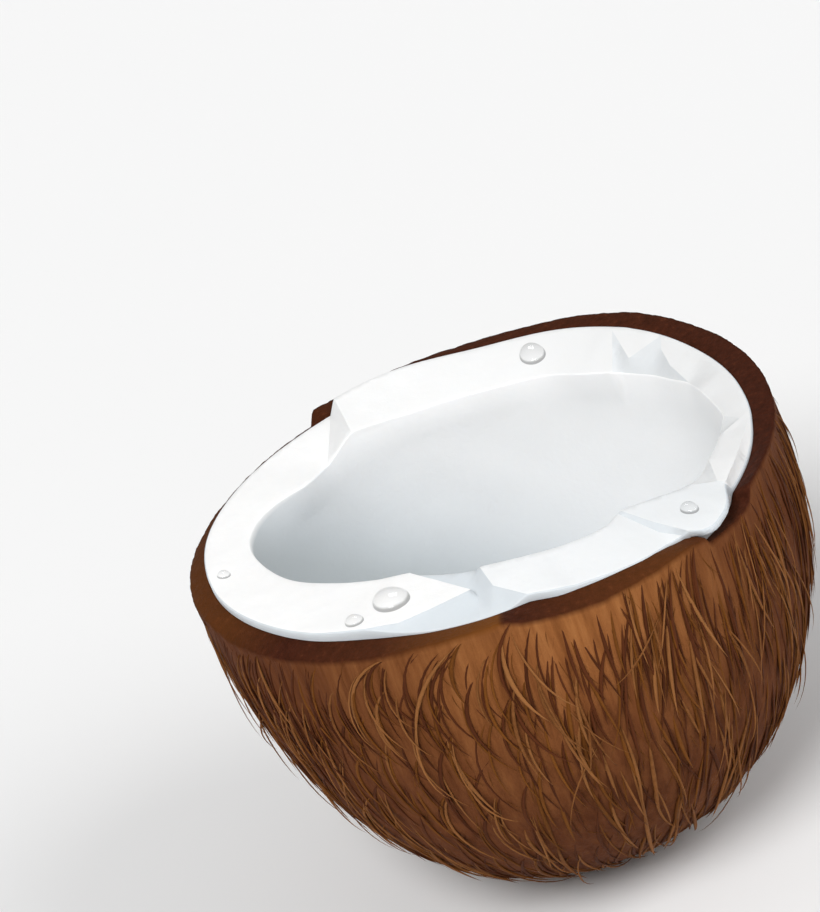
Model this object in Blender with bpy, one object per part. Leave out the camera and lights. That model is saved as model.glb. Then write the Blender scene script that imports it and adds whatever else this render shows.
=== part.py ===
"""Half of a dehusked coconut, standing on its round end with the broken cut face up.

Units in the tables are millimetres and degrees. Azimuth 0 is +X and runs towards +Y; the front is -Y.
Outlines are given as (azimuth, depth, lift): depth is how far in from the flesh radius a point lies,
as a multiple of the flesh wall, and lift is its height above the rim height.
"""

import math

import bpy
from mathutils import Vector, geometry
from mathutils.bvhtree import BVHTree

MM = 0.001

# Driving dimensions, in millimetres
BODY_RADIUS = 60.0  # outside of the shell at its widest
RIM_HEIGHT = 81.0  # mean height of the broken rim above the foot
WAIST_DROP = 3.0  # this far below the rim height the bowl is widest, and above it the wall runs straight up
POLE_DEPTH = 0.8  # how much of the round end the foot flat takes off
BOWL_POWER = 2.34  # 2 is an ellipse, more is squarer
SHELL_WALL = 4.2  # shell thickness, with the clearance
FLESH_WALL = 12.0  # mean flesh thickness round the broken face
FLESH_FLOOR = 11.0  # flesh thickness at the bottom of the hollow
FIT_GAP = 0.3  # clearance between pieces that touch
LEAN_X, LEAN_Y = -2.6, 1.2  # how far the rim centre sits from the foot centre
RIDGE_SWELL = 1.0  # how far the three ridges swell out of the round wall
RIDGE_AZIMUTH = 15.0  # where the first ridge runs
LIP_THICKNESS = 1.2  # edge of the flesh, where it stands over the shell
NECK_DROP = 1.4  # below the lip, where the flesh is back within its own radius
SEAT_DROP = 7.0  # below the rim height, the flesh lies against the shell all round
HOLLOW_POWER = 2.3  # as for the bowl
EVENING = 1.3  # how soon below its edge the hollow grows round
SOFTENING = 3.5  # how soon below its edge the hollow loses the corners of that edge
SOFT_REACH = 20.0  # azimuth over which those corners are averaged out, to each side

# Resolution
AZIMUTH_STEP = 7.5
LEAST_STEP = 1.0
RING_CROWDING = 2.0  # how strongly the rings of the bowl crowd towards its round end
BOWL_RINGS = 8
HOLLOW_RINGS = 7
DROP_SIDES = 14
DROP_RINGS = 3
MERGE_LIMIT = 1e-7

# Outer edge of the flesh: (azimuth, depth, lift, name). A named point is a sharp corner.
FLESH_EDGE = (
    (0.0, 0.07, -0.5, ""),
    (20.0, 0.07, -0.5, ""),
    (42.0, 0.023, 0.5, ""),
    (47.5, 0.0, 0.5, "chip_left_out"),
    (60.0, 0.0, 0.5, ""),
    (80.0, 0.023, 0.0, ""),
    (100.0, -0.023, 1.5, ""),
    (113.5, 0.047, 2.2, "step_high_out"),
    (116.0, 0.093, -0.5, "step_low_out"),
    (135.0, 0.0, -0.5, ""),
    (150.0, 0.0, 0.2, ""),
    (165.0, 0.0, 1.0, ""),
    (180.0, 0.023, 2.0, ""),
    (195.0, 0.0, 2.3, ""),
    (212.0, 0.0, 2.8, ""),
    (227.0, 0.0, 3.2, ""),
    (239.0, 0.07, 3.8, "bevel_start"),
    (246.0, 0.07, 2.6, ""),
    (252.0, 0.047, 2.1, ""),
    (262.0, 0.047, 2.1, "groove_out"),
    (268.0, 0.07, 2.2, ""),
    (272.0, 0.116, 3.3, "front_plate_out"),
    (277.0, 0.0, 3.0, ""),
    (281.0, 0.0, 2.0, ""),
    (291.0, 0.0, 0.4, ""),
    (296.0, 0.0, -0.3, ""),
    (302.0, 0.047, -1.2, ""),
    (305.5, 0.0, -1.4, "slit_out"),
    (306.0, -0.126, -0.4, "lobe_start"),
    (307.5, -0.293, -0.7, ""),
    (309.5, -0.372, -0.8, ""),
    (312.0, -0.349, -0.7, ""),
    (315.5, -0.279, -0.4, ""),
    (321.5, 0.0, -0.3, "lobe_end"),
    (323.0, 0.0, -2.4, "side_bevel_start"),
    (331.0, 0.0, -2.2, ""),
    (339.0, 0.0, -1.5, ""),
    (347.0, 0.023, -0.7, "side_bevel_end"),
)

# Edge of the hollow, in the same form
HOLLOW_EDGE = (
    (0.0, 0.591, -1.9, ""),
    (9.0, 0.651, -2.0, ""),
    (16.0, 0.628, -3.2, "chip_right_in"),
    (23.0, 0.698, -3.8, ""),
    (30.0, 0.721, -4.2, ""),
    (35.0, 0.791, -4.2, ""),
    (40.0, 0.851, -4.0, "chip_left_low"),
    (40.5, 0.976, -3.0, "chip_left_in"),
    (50.0, 1.083, -3.0, ""),
    (61.0, 1.069, -3.0, ""),
    (74.0, 1.256, -2.6, ""),
    (87.0, 1.325, -2.0, ""),
    (102.0, 1.372, -1.0, ""),
    (111.0, 1.325, 0.0, ""),
    (120.0, 1.256, 1.0, "step_high_in"),
    (132.0, 1.256, -1.8, "step_low_in"),
    (144.0, 1.302, -0.8, ""),
    (155.0, 0.976, -0.2, ""),
    (163.0, 0.814, 0.1, ""),
    (174.0, 0.791, 0.7, ""),
    (190.0, 0.953, 1.4, ""),
    (203.0, 1.093, 1.9, ""),
    (217.0, 1.316, 2.5, ""),
    (232.0, 1.488, 3.1, ""),
    (242.0, 1.604, 3.5, "tongue_in"),
    (243.5, 1.604, 2.7, "groove_in"),
    (262.5, 1.349, 3.2, "groove_end"),
    (263.5, 1.302, 4.0, "front_plate_in"),
    (275.0, 1.186, 3.8, ""),
    (286.0, 1.083, 3.0, ""),
    (297.0, 1.069, 2.0, ""),
    (303.5, 1.209, 1.4, "slit_in"),
    (304.5, 1.2, 1.7, "lobe_in"),
    (312.0, 0.976, 1.0, ""),
    (320.0, 0.632, 0.2, "lobe_corner"),
    (321.0, 0.698, -1.1, "side_chip_start"),
    (330.0, 0.651, -1.8, "side_chip_end"),
    (331.0, 0.591, -0.5, "side_plate_corner"),
    (342.0, 0.558, -1.0, "star_start"),
    (344.0, 0.591, -2.0, ""),
    (350.0, 0.535, -2.0, "star_end"),
    (351.0, 0.502, -1.4, "sliver_start"),
)

# Corners that lie on the broken face between the two edges
FACE_POINTS = {
    "chip_peak": (34.0, 0.07, 0.0),
    "chip_left_peak": (47.0, 0.116, 0.4),
    "chip_notch": (38.0, 0.651, -1.7),
    "chip_shoulder": (31.0, 0.325, -1.0),
    "chip_flank": (25.0, 0.535, -2.0),
    "tongue_bend": (246.0, 0.163, 3.9),
    "tongue_side": (252.0, 0.391, 4.0),
    "tongue_tip": (261.0, 0.698, 4.0),
    "groove_mid": (262.0, 0.642, 2.6),
    "front_plate_bend": (266.0, 0.642, 3.8),
    "slit_mid": (303.8, 0.363, -0.6),
    "lobe_side": (305.0, 0.535, 0.6),
    "side_apex": (322.0, 0.163, -0.1),
    "side_bevel_mid": (330.0, 0.084, 0.0),
    "side_bevel_low": (322.3, 0.023, -0.1),
    "star_apex": (347.0, 0.209, -0.7),
}

# Ridges and valleys of the broken face, each between two named corners
CREASES = (
    ("step_high_out", "step_high_in"),
    ("step_low_out", "step_low_in"),
    ("chip_left_peak", "chip_left_in"),
    ("chip_left_peak", "chip_notch"),
    ("chip_notch", "chip_peak"),
    ("chip_peak", "chip_shoulder"),
    ("chip_shoulder", "chip_flank"),
    ("chip_flank", "chip_right_in"),
    ("bevel_start", "tongue_bend"),
    ("tongue_bend", "tongue_side"),
    ("tongue_side", "tongue_tip"),
    ("tongue_tip", "tongue_in"),
    ("groove_in", "groove_mid"),
    ("groove_mid", "groove_out"),
    ("front_plate_in", "front_plate_bend"),
    ("front_plate_bend", "front_plate_out"),
    ("slit_in", "slit_mid"),
    ("slit_mid", "slit_out"),
    ("lobe_in", "lobe_side"),
    ("lobe_side", "lobe_start"),
    ("lobe_corner", "side_apex"),
    ("side_apex", "side_plate_corner"),
    ("side_apex", "side_bevel_low"),
    ("side_bevel_low", "lobe_end"),
    ("side_bevel_low", "side_bevel_mid"),
    ("side_bevel_mid", "side_bevel_end"),
    ("star_start", "star_apex"),
    ("star_apex", "sliver_start"),
)

# Broken rim of the shell: (azimuth, lift of the outer edge, lift of the inner edge)
SHELL_RIM = (
    (0.0, -0.7, -0.8),
    (9.0, 0.0, -0.7),
    (27.0, 0.5, -0.6),
    (45.0, 1.4, 0.2),
    (62.0, 0.6, 0.1),
    (71.0, -0.2, -0.3),
    (85.0, -0.7, -0.3),
    (112.0, -0.4, -0.6),
    (117.0, -0.2, -1.0),
    (118.5, -3.2, -2.5),
    (133.0, -3.2, -1.8),
    (147.0, -3.3, -1.5),
    (162.0, -2.7, -0.8),
    (175.0, -2.0, 0.2),
    (184.0, -1.4, 0.6),
    (197.0, -0.2, 0.9),
    (206.0, -0.9, 1.1),
    (216.0, -0.5, 1.3),
    (233.0, 0.3, 1.6),
    (243.0, 1.1, 1.7),
    (251.0, 1.9, 1.7),
    (260.0, 2.5, 1.8),
    (267.0, 2.7, 1.9),
    (269.0, 1.6, 1.9),
    (276.0, 0.4, 1.6),
    (283.0, -0.8, 0.9),
    (291.0, -0.9, 0.1),
    (298.0, -1.0, -0.8),
    (303.0, -1.2, -1.9),
    (304.5, -3.8, -5.8),
    (317.0, -4.3, -5.8),
    (321.0, -3.6, -4.6),
    (322.5, -1.0, -3.2),
    (333.0, -0.7, -2.8),
    (345.0, -0.9, -1.5),
)

# Water drops: name, azimuth, depth, radius, height
DROPS = (
    ("droplet_left", 186.0, 0.279, 1.4, 0.9),
    ("droplet_front_large", 241.0, 0.837, 3.7, 1.9),
    ("droplet_front_small", 235.0, 0.325, 1.9, 1.1),
    ("droplet_back", 66.0, 0.535, 2.8, 1.5),
    ("droplet_right", 312.0, 0.233, 1.75, 1.2),
)


def bowl_radius(z, inset, azimuth):
    """Radius of the bowl at a height, for the outside (inset 0) or a surface inside it."""
    waist = RIM_HEIGHT - WAIST_DROP
    down = min(1.0, max(0.0, (waist - z) / (waist + POLE_DEPTH - inset)))
    narrow = (1.0 - down**BOWL_POWER) ** (1.0 / BOWL_POWER)
    swell = RIDGE_SWELL * math.sin(math.pi * min(1.0, max(0.0, z / RIM_HEIGHT)))
    ridge = math.cos(math.radians(3.0 * (azimuth - RIDGE_AZIMUTH)))
    return (BODY_RADIUS - inset + swell * ridge) * narrow


def place(azimuth, radius, z):
    """A point of the coconut, whose axis leans a little."""
    along = z / RIM_HEIGHT
    angle = math.radians(azimuth)
    return Vector((
        radius * math.cos(angle) + LEAN_X * along,
        radius * math.sin(angle) + LEAN_Y * along,
        z,
    ))


def flesh_radius():
    return BODY_RADIUS - SHELL_WALL


def on_face(azimuth, depth, lift):
    return place(azimuth, flesh_radius() - FLESH_WALL * depth, RIM_HEIGHT + lift)


def eased(before, start, end, after, t):
    """Cubic curve from start to end, whose slopes come from the neighbours."""
    first = (end - before) / 2.0
    last = (after - start) / 2.0
    return (
        (2 * t**3 - 3 * t**2 + 1) * start
        + (t**3 - 2 * t**2 + t) * first
        + (3 * t**2 - 2 * t**3) * end
        + (t**3 - t**2) * last
    )


def traced(table, step):
    """A closed edge in steps of azimuth, smooth except at its named corners."""
    out = []
    count = len(table)
    for i in range(count):
        start = table[i]
        end = table[(i + 1) % count]
        before = start if start[3] else table[i - 1]
        after = end if end[3] else table[(i + 2) % count]
        span = (end[0] - start[0]) % 360.0
        pieces = max(1, round(span / step))
        out.append(start)
        for piece in range(1, pieces):
            t = piece / pieces
            out.append((
                start[0] + span * t,
                eased(before[1], start[1], end[1], after[1], t),
                eased(before[2], start[2], end[2], after[2], t),
                "",
            ))
    return out


def softened(edge):
    """Depth and lift at each point of a traced edge, averaged over its neighbours."""
    rows = []
    for here in edge:
        total = 0.0
        depth = 0.0
        lift = 0.0
        for i, other in enumerate(edge):
            span = (edge[(i + 1) % len(edge)][0] - edge[i - 1][0]) % 360.0
            away = abs((other[0] - here[0] + 180.0) % 360.0 - 180.0)
            weight = span * max(0.0, 1.0 - away / SOFT_REACH)
            total += weight
            depth += weight * other[1]
            lift += weight * other[2]
        rows.append((depth / total, lift / total))
    return rows


def rim_lifts(azimuth):
    """Lift of the outer and inner edge of the shell rim at an azimuth."""
    azimuth %= 360.0
    for i, start in enumerate(SHELL_RIM):
        end = SHELL_RIM[(i + 1) % len(SHELL_RIM)]
        span = (end[0] - start[0]) % 360.0
        along = (azimuth - start[0]) % 360.0
        if along <= span:
            t = along / span
            return start[1] + (end[1] - start[1]) * t, start[2] + (end[2] - start[2]) * t
    return SHELL_RIM[0][1], SHELL_RIM[0][2]


def seat_heights(inset):
    """Heights of the rings where shell and flesh lie together, from the seat down to the round end."""
    floor = inset - POLE_DEPTH
    seat = RIM_HEIGHT - SEAT_DROP
    shares = [(1.0 - step / BOWL_RINGS) ** RING_CROWDING for step in range(BOWL_RINGS)]
    return [floor + (seat - floor) * share for share in shares]


def bridge(faces, first, second):
    """Quads between two closed rings of vertex numbers; the second ring lies below the first."""
    count = len(first)
    for i in range(count):
        j = (i + 1) % count
        faces.append((first[i], second[i], second[j], first[j]))


def encloses(loop, x, y):
    """Whether a closed loop of flat points goes round a point."""
    inside = False
    for i, start in enumerate(loop):
        end = loop[i - 1]
        if (start.y > y) != (end.y > y):
            crossing = start.x + (end.x - start.x) * (y - start.y) / (end.y - start.y)
            if x < crossing:
                inside = not inside
    return inside


def broken_face(outer, inner):
    """Triangles between the outer edge of the flesh and the edge of the hollow, folded at the creases."""
    points = [on_face(*row[:3]) for row in outer]
    names = {row[3]: i for i, row in enumerate(outer) if row[3]}
    first_inner = len(points)
    points += [on_face(*row[:3]) for row in inner]
    names.update({row[3]: first_inner + i for i, row in enumerate(inner) if row[3]})
    for name, row in FACE_POINTS.items():
        names[name] = len(points)
        points.append(on_face(*row))
    edges = [(names[a], names[b]) for a, b in CREASES]
    loops = [list(range(first_inner)), list(range(first_inner, first_inner + len(inner)))]
    flat = [point.to_2d() for point in points]
    made = geometry.delaunay_2d_cdt(flat, edges, loops, 0, MERGE_LIMIT)
    if len(made[0]) != len(points):
        raise ValueError("two creases of the broken face cross")
    back = [origin[0] for origin in made[3]]
    outline, hole = [[flat[i] for i in loop] for loop in loops]
    triangles = []
    for face in made[2]:
        corners = [back[i] for i in face]
        x = sum(flat[i].x for i in corners) / 3.0
        y = sum(flat[i].y for i in corners) / 3.0
        if encloses(outline, x, y) and not encloses(hole, x, y):
            triangles.append(tuple(corners))
    return points, triangles, loops


def flesh_mesh():
    outer = traced(FLESH_EDGE, AZIMUTH_STEP)
    inner = traced(HOLLOW_EDGE, AZIMUTH_STEP)
    points, faces, loops = broken_face(outer, inner)
    top = BVHTree.FromPolygons(points, faces)

    # Outside: the lip, then the seat against the shell, then the bowl
    ring = loops[0]
    low = []
    for azimuth, depth, lift, _ in outer:
        low.append(len(points))
        points.append(on_face(azimuth, depth, lift - LIP_THICKNESS))
    bridge(faces, ring, low)
    ring = low
    low = []
    for azimuth, depth, lift, _ in outer:
        low.append(len(points))
        z = RIM_HEIGHT + lift - LIP_THICKNESS - NECK_DROP
        radius = min(flesh_radius() - FLESH_WALL * depth, bowl_radius(z, SHELL_WALL, azimuth))
        points.append(place(azimuth, radius, z))
    bridge(faces, ring, low)
    ring = low
    for z in seat_heights(SHELL_WALL):
        low = []
        for azimuth, _, _, _ in outer:
            low.append(len(points))
            points.append(place(azimuth, bowl_radius(z, SHELL_WALL, azimuth), z))
        bridge(faces, ring, low)
        ring = low
    pole = len(points)
    points.append(place(0.0, 0.0, SHELL_WALL - POLE_DEPTH))
    for i in range(len(ring)):
        faces.append((ring[i], pole, ring[(i + 1) % len(ring)]))

    # Hollow: its rings start on the broken edge and grow round as they go down
    ring = loops[1]
    bottom = SHELL_WALL - POLE_DEPTH + FLESH_FLOOR
    soft = softened(inner)
    for step in range(1, HOLLOW_RINGS):
        angle = math.pi / 2.0 * step / HOLLOW_RINGS
        narrow = math.cos(angle) ** (2.0 / HOLLOW_POWER)
        deep = math.sin(angle) ** (2.0 / HOLLOW_POWER)
        evened = min(1.0, deep * EVENING)
        blend = min(1.0, deep * SOFTENING)
        low = []
        for (azimuth, depth, lift, _), (soft_depth, soft_lift) in zip(inner, soft):
            low.append(len(points))
            depth += (soft_depth - depth) * blend
            lift += (soft_lift - lift) * blend
            radius = flesh_radius() - FLESH_WALL * (depth + (1.0 - depth) * evened)
            height = RIM_HEIGHT + lift * (1.0 - evened) - bottom
            points.append(place(azimuth, radius * narrow, bottom + height * (1.0 - deep)))
        bridge(faces, low, ring)
        ring = low
    pole = len(points)
    points.append(place(0.0, 0.0, bottom))
    for i in range(len(ring)):
        faces.append((ring[(i + 1) % len(ring)], pole, ring[i]))
    return points, faces, top


def shell_mesh():
    azimuths = {row[0] for row in SHELL_RIM}
    for row in traced(FLESH_EDGE, AZIMUTH_STEP):
        azimuth = row[0] % 360.0
        if min(abs(azimuth - known) for known in azimuths) > LEAST_STEP:
            azimuths.add(azimuth)
    azimuths = sorted(azimuths)
    points, faces = [], []
    inset = SHELL_WALL - FIT_GAP

    def ring_at(height_of, wall):
        ring = []
        for azimuth in azimuths:
            z = height_of(azimuth)
            ring.append(len(points))
            points.append(place(azimuth, bowl_radius(z, wall, azimuth), z))
        return ring

    foot = ring_at(lambda azimuth: 0.0, 0.0)
    below = foot
    for step in range(1, BOWL_RINGS + 2):
        share = (step / (BOWL_RINGS + 1)) ** RING_CROWDING
        above = ring_at(lambda azimuth, up=share: up * (RIM_HEIGHT + rim_lifts(azimuth)[0]), 0.0)
        bridge(faces, above, below)
        below = above
    ring = ring_at(lambda azimuth: RIM_HEIGHT + rim_lifts(azimuth)[1], inset)
    bridge(faces, ring, below)
    for height in seat_heights(SHELL_WALL):
        low = ring_at(lambda azimuth, z=height: z - FIT_GAP, inset)
        bridge(faces, low, ring)
        ring = low
    pole = len(points)
    points.append(place(0.0, 0.0, inset - POLE_DEPTH))
    count = len(azimuths)
    for i in range(count):
        faces.append((ring[(i + 1) % count], pole, ring[i]))
    faces.append(tuple(foot[::-1]))
    return points, faces


def drop_mesh(face, azimuth, depth, radius, height):
    """A lens of water that follows the broken face, a clearance above it."""
    centre = on_face(azimuth, depth, 0.0)
    high = 2.0 * RIM_HEIGHT
    down = Vector((0.0, 0.0, -1.0))

    def resting(out, angle):
        x = centre.x + radius * out * math.cos(angle)
        y = centre.y + radius * out * math.sin(angle)
        hit = face.ray_cast(Vector((x, y, high)), down)[0]
        return Vector((x, y, hit.z + FIT_GAP))

    points, faces = [], []
    rings = {1: [], -1: []}
    for side in (1, -1):
        for level in range(1, DROP_RINGS):
            slope = math.pi / 2.0 * level / DROP_RINGS
            ring = []
            for i in range(DROP_SIDES):
                point = resting(math.sin(slope), 2.0 * math.pi * i / DROP_SIDES)
                if side > 0:
                    point.z += height * math.cos(slope)
                ring.append(len(points))
                points.append(point)
            rings[side].append(ring)
    edge = []
    for i in range(DROP_SIDES):
        edge.append(len(points))
        points.append(resting(1.0, 2.0 * math.pi * i / DROP_SIDES))
    top, under = len(points), len(points) + 1
    points.append(resting(0.0, 0.0) + Vector((0.0, 0.0, height)))
    points.append(resting(0.0, 0.0))
    chain = rings[1] + [edge] + rings[-1][::-1]
    for above, below in zip(chain, chain[1:]):
        bridge(faces, above, below)
    for i in range(DROP_SIDES):
        j = (i + 1) % DROP_SIDES
        faces.append((top, chain[0][i], chain[0][j]))
        faces.append((under, chain[-1][j], chain[-1][i]))
    return points, faces


def add_node(name, points, faces, colour, roughness):
    mesh = bpy.data.meshes.new(name)
    mesh.from_pydata([point * MM for point in points], [], faces)
    mesh.update()
    obj = bpy.data.objects.new(name, mesh)
    bpy.context.scene.collection.objects.link(obj)
    material = bpy.data.materials.new(name + "_finish")
    material.use_nodes = True
    shader = material.node_tree.nodes["Principled BSDF"]
    shader.inputs["Base Color"].default_value = (*colour, 1.0)
    shader.inputs["Roughness"].default_value = roughness
    mesh.materials.append(material)
    return shader


for leftover in list(bpy.data.objects):
    bpy.data.objects.remove(leftover)

shell_points, shell_faces = shell_mesh()
add_node("shell", shell_points, shell_faces, (0.2, 0.09, 0.035), 0.75)

flesh_points, flesh_faces, flesh_top = flesh_mesh()
add_node("flesh", flesh_points, flesh_faces, (0.92, 0.92, 0.9), 0.4)

for name, azimuth, depth, radius, height in DROPS:
    drop_points, drop_faces = drop_mesh(flesh_top, azimuth, depth, radius, height)
    water = add_node(name, drop_points, drop_faces, (0.95, 0.97, 1.0), 0.03)
    water.inputs["Transmission Weight"].default_value = 1.0
    water.inputs["IOR"].default_value = 1.33
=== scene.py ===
"""Half a coconut on a pale studio floor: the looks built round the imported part.

Units in the tables are millimetres and degrees. Azimuth 0 is +X and runs towards +Y; the front is -Y.
Outlines are given as (azimuth, depth, lift): depth is how far in from the flesh radius a point lies,
as a multiple of the flesh wall, and lift is its height above the rim height.
"""

import math

import bpy
import numpy as np
from mathutils import Matrix, Vector, geometry, kdtree, noise
from mathutils.bvhtree import BVHTree


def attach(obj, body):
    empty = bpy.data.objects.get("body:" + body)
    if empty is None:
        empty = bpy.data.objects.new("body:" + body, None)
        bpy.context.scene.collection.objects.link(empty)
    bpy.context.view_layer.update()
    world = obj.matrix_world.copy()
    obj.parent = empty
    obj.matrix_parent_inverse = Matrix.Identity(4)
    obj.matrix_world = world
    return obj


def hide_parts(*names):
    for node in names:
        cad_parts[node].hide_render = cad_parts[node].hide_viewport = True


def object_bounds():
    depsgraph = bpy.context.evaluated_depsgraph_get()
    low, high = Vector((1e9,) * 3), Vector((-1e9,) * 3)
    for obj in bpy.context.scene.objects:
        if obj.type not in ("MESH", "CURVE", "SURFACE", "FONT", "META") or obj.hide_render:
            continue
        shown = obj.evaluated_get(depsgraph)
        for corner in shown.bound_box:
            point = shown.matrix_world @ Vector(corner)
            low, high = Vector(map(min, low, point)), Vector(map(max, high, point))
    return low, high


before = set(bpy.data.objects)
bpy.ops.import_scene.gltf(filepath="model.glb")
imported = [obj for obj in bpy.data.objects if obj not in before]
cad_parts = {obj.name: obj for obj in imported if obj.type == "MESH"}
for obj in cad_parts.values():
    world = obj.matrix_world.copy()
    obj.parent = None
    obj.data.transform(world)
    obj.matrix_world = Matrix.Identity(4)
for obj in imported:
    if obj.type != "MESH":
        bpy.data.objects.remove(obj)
cad_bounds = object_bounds()

MM = 0.001

# Sizes of the part, in millimetres
BODY_RADIUS = 60.0
RIM_HEIGHT = 81.0
WAIST_DROP = 3.0
POLE_DEPTH = 0.8
BOWL_POWER = 2.34
SHELL_WALL = 4.2
FLESH_WALL = 12.0
FLESH_FLOOR = 11.0
LEAN_X, LEAN_Y = -2.6, 1.2
RIDGE_SWELL = 1.0
RIDGE_AZIMUTH = 15.0
LIP_THICKNESS = 1.2
NECK_DROP = 1.4
SEAT_DROP = 7.0
HOLLOW_POWER = 2.3
EVENING = 1.3

# Finer steps than the part's own
EDGE_STEP = 1.25  # azimuth between points of the flesh's two edges
GRID_STEP = 1.15  # distance between points of the broken face
GRID_CLEAR = 0.6  # least distance from those to an edge or a crease
MERGE_LIMIT = 1e-7
HOLLOW_RINGS = 44
HIDDEN_RINGS = 10  # where shell and flesh lie against each other
SHELL_STEPS = 540
SHELL_RINGS = 96
RIM_RINGS = 9

# Small shapes that the part leaves out
EDGE_ROUND = 0.28  # how round the edges of the flesh are
OVERLAP = 0.06  # how far the shell runs into the flesh, so that no gap shows
RIM_CROWN = 0.15  # how far the broken shell bulges up between its edges
RAGGED = 0.14  # how rough the broken shell is
SOFTENING = 14.0  # how soon below its edge the hollow loses the corners of that edge
SOFT_REACH = 9.0  # azimuth over which those corners are averaged out
FACE_RELIEF = 0.05
HOLLOW_SWELL, HOLLOW_RELIEF = 0.16, 0.04
HOLLOW_SETTLE = 0.05  # share of the hollow's depth over which its relief comes in
SHELL_STREAKS, SHELL_LUMPS, SHELL_GRAIN = 0.16, 0.22, 0.07
SHELL_SETTLE = 4.0  # height above the foot over which the shell's relief comes in
LIP_SHADE = 0.7  # how grey the painted shade makes the rounded outer edge of the flesh

# Husk fibres
CURL = 72.0  # how far strands bend over their length, in degrees
CURL_AZIMUTH = 215.0  # where they bend most; they bend the other way opposite
CROWN_WEIGHT = 1.2  # how much closer strands stand at the rim than far below it
CROWN_RUN = 7.0  # how fast that fades on the way down
CROWN_REACH = 1.5  # how much nearer the rim strands may start at the front
RIM_RUN = 12.0  # strands that start within this run of the rim follow its broken line
PROFILE_ABOVE = 4.0  # how far above the rim height the profile of the shell starts
STRAND_STEPS = 10
STRAND_RISE = 1.8  # power with which a strand lifts towards its tip
STRAND_FLAT = 0.6  # thickness of a strand, as a share of its width
ROOT_DEPTH = 0.15  # how deep the roots sit in the shell
FLOOR_CLEAR = 0.5  # least height of a strand's centre line above the foot
BARE_FOOT = 9.0  # no strand starts within this run of the end below
EVEN_FIRST, EVEN_SECOND = 0.7548776662, 0.5698402910  # steps that spread points evenly over an area
EVEN_SINGLE = 0.6180339887  # the same along a line

# Where the husk is painted lighter: a painted highlight at the front just under the rim, and paler patches at
# random
LIT_AZIMUTH, LIT_WIDTH = 274.0, 25.0
LIT_HEIGHT, LIT_DEPTH = 73.0, 18.0
PALE_DRIFT = 0.4  # how pale the random patches can be away from the painted highlight

# Drops of water
DROP_SIDES = 48
DROP_RINGS = 14
DROP_SINK = 0.15  # how far the base lies below the broken face
DROP_LONG, DROP_SHORT = 1.2, 0.94  # stretch of the outline, along and across
DROP_TURN = 110.0  # azimuth of its long way
DROP_SHADE_AZIMUTH = 80.0  # the side of a drop that is darkest, with painted shade

# Camera: it looks past the back of the part, so the half stands low and to the right in the frame
CAMERA_TILT = 27.53
CAMERA_SWING = 1.055
CAMERA_ROLL = 20.417
CAMERA_DISTANCE = 745.9
CAMERA_AIM = (-14.7, 98.4, 40.0)
CAMERA_LENS = 129.16
CAMERA_SENSOR = 36.0

# Light
FILL = 0.36
KEY = 2.08
SIDE = 1.2
SPARKLE = 0.5  # lights nothing diffusely, so that it only adds glints
BACKDROP = 0.92
FLOOR_SIZE = 12.0

# Outer edge of the flesh: (azimuth, depth, lift, name). A named point is a sharp corner.
FLESH_EDGE = (
    (0.0, 0.07, -0.5, ""),
    (20.0, 0.07, -0.5, ""),
    (42.0, 0.023, 0.5, ""),
    (47.5, 0.0, 0.5, "chip_left_out"),
    (60.0, 0.0, 0.5, ""),
    (80.0, 0.023, 0.0, ""),
    (100.0, -0.023, 1.5, ""),
    (113.5, 0.047, 2.2, "step_high_out"),
    (116.0, 0.093, -0.5, "step_low_out"),
    (135.0, 0.0, -0.5, ""),
    (150.0, 0.0, 0.2, ""),
    (165.0, 0.0, 1.0, ""),
    (180.0, 0.023, 2.0, ""),
    (195.0, 0.0, 2.3, ""),
    (212.0, 0.0, 2.8, ""),
    (227.0, 0.0, 3.2, ""),
    (239.0, 0.07, 3.8, "bevel_start"),
    (246.0, 0.07, 2.6, ""),
    (252.0, 0.047, 2.1, ""),
    (262.0, 0.047, 2.1, "groove_out"),
    (268.0, 0.07, 2.2, ""),
    (272.0, 0.116, 3.3, "front_plate_out"),
    (277.0, 0.0, 3.0, ""),
    (281.0, 0.0, 2.0, ""),
    (291.0, 0.0, 0.4, ""),
    (296.0, 0.0, -0.3, ""),
    (302.0, 0.047, -1.2, ""),
    (305.5, 0.0, -1.4, "slit_out"),
    (306.0, -0.126, -0.4, "lobe_start"),
    (307.5, -0.293, -0.7, ""),
    (309.5, -0.372, -0.8, ""),
    (312.0, -0.349, -0.7, ""),
    (315.5, -0.279, -0.4, ""),
    (321.5, 0.0, -0.3, "lobe_end"),
    (323.0, 0.0, -2.4, "side_bevel_start"),
    (331.0, 0.0, -2.2, ""),
    (339.0, 0.0, -1.5, ""),
    (347.0, 0.023, -0.7, "side_bevel_end"),
)

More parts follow.
